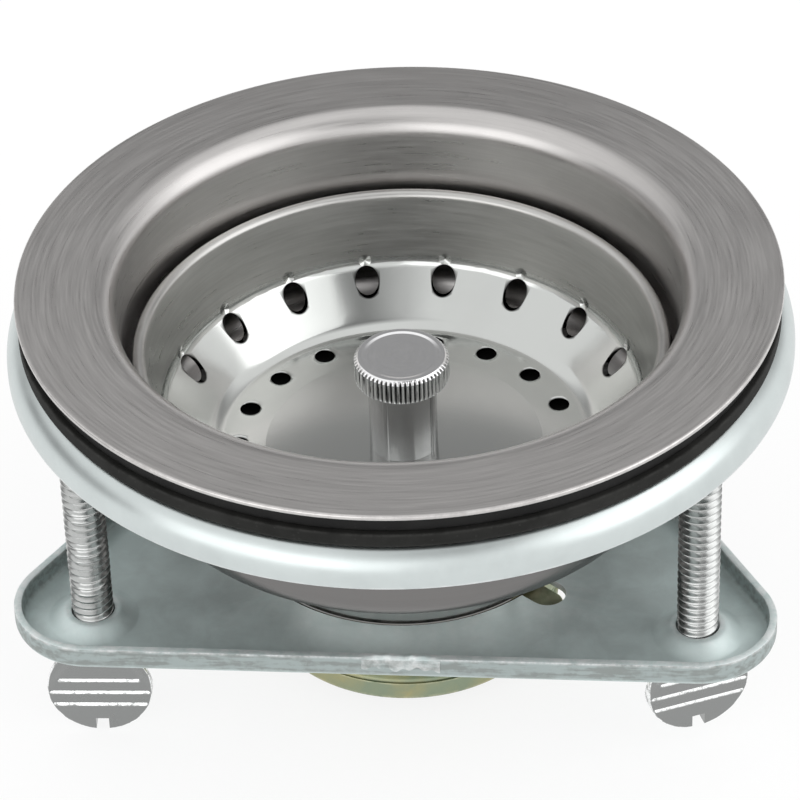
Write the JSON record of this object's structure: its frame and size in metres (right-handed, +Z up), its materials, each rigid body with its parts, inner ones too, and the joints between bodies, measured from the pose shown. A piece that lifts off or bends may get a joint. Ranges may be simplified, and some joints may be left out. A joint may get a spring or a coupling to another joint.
{
  "type": "kitchen sink basket strainer",
  "caption": "Round sink drain: flanged steel bowl with perforated lift-out basket and stopper, clamped from below by a ring, a three-cornered plate and thumb screws.",
  "frame": {"origin": "centre of the flange's top face, on the drain's axis, where the sink hole's axis meets the sink floor", "axes": "+Z up out of the drain; +Y towards the plate's rear screw; +X right"},
  "size_m": [0.118, 0.1233, 0.0674],
  "materials": {
    "bowl_steel": "brushed round the axis",
    "basket_steel": "drawn, polished on the lower wall",
    "stamped_steel": "satin",
    "bright_knob": "bright plated",
    "zinc_plated_ring": "zinc plated",
    "zinc_plated_plate": "zinc plated, dull",
    "zinc_plated_screw": "zinc plated",
    "chromated_zinc": "die-cast zinc alloy, yellow-green chromate",
    "brass_stem": "turned",
    "grey_fibre": "pressed fibre",
    "black_rubber": "moulded"
  },
  "bodies": {
    "strainer": {"strainer_body": "bowl_steel", "rim_gasket": "black_rubber", "friction_washer": "grey_fibre", "outlet_nipple": "chromated_zinc", "outlet_seal": "black_rubber", "crossbar": "stamped_steel"},
    "plate": {"mounting_plate": "zinc_plated_plate"},
    "ring": {"retaining_ring": "zinc_plated_ring"},
    "screw_left": {"thumb_screw_left": "zinc_plated_screw"},
    "screw_right": {"thumb_screw_right": "zinc_plated_screw"},
    "screw_rear": {"thumb_screw_rear": "zinc_plated_screw"},
    "stopper": {"stopper_seal": "black_rubber", "cap_washer": "stamped_steel", "backing_washer": "stamped_steel"},
    "basket": {"basket_cup": "basket_steel", "basket_post": "basket_steel", "basket_knob": "bright_knob", "basket_stem": "brass_stem", "stem_nut": "brass_stem", "catch_ring": "black_rubber"}
  },
  "joints": [
    {"name": "plate_turn", "type": "hinge", "parent": "strainer", "child": "plate", "pos_m": [0, 0, -0.0462], "axis": [0, 0, 1], "range_deg": [0, 60]},
    {"name": "ring_slide", "type": "slide", "parent": "plate", "child": "ring", "axis": [0, 0, -1], "range_m": [0, 0.02921]},
    {"name": "screw_left_turn", "type": "hinge", "parent": "ring", "child": "screw_left", "pos_m": [-0.04547, -0.02625, -0.0579], "axis": [0, 0, -1], "range_deg": [0, 8280.5]},
    {"name": "screw_right_turn", "type": "hinge", "parent": "ring", "child": "screw_right", "pos_m": [0.04547, -0.02625, -0.0579], "axis": [0, 0, -1], "range_deg": [0, 8280.5]},
    {"name": "screw_rear_turn", "type": "hinge", "parent": "ring", "child": "screw_rear", "pos_m": [0, 0.0525, -0.0579], "axis": [0, 0, -1], "range_deg": [0, 8280.5]},
    {"name": "basket_lift", "type": "slide", "parent": "strainer", "child": "stopper", "axis": [0, 0, 1], "range_m": [0, 0.06]},
    {"name": "basket_turn", "type": "hinge", "parent": "stopper", "child": "basket", "pos_m": [0, 0, -0.031], "axis": [0, 0, 1], "continuous": true}
  ],
  "couplings": [
    {"joint": "screw_left_turn", "follows": "ring_slide", "rad_per_m": 4947.4},
    {"joint": "screw_right_turn", "follows": "ring_slide", "rad_per_m": 4947.4},
    {"joint": "screw_rear_turn", "follows": "ring_slide", "rad_per_m": 4947.4}
  ]
}
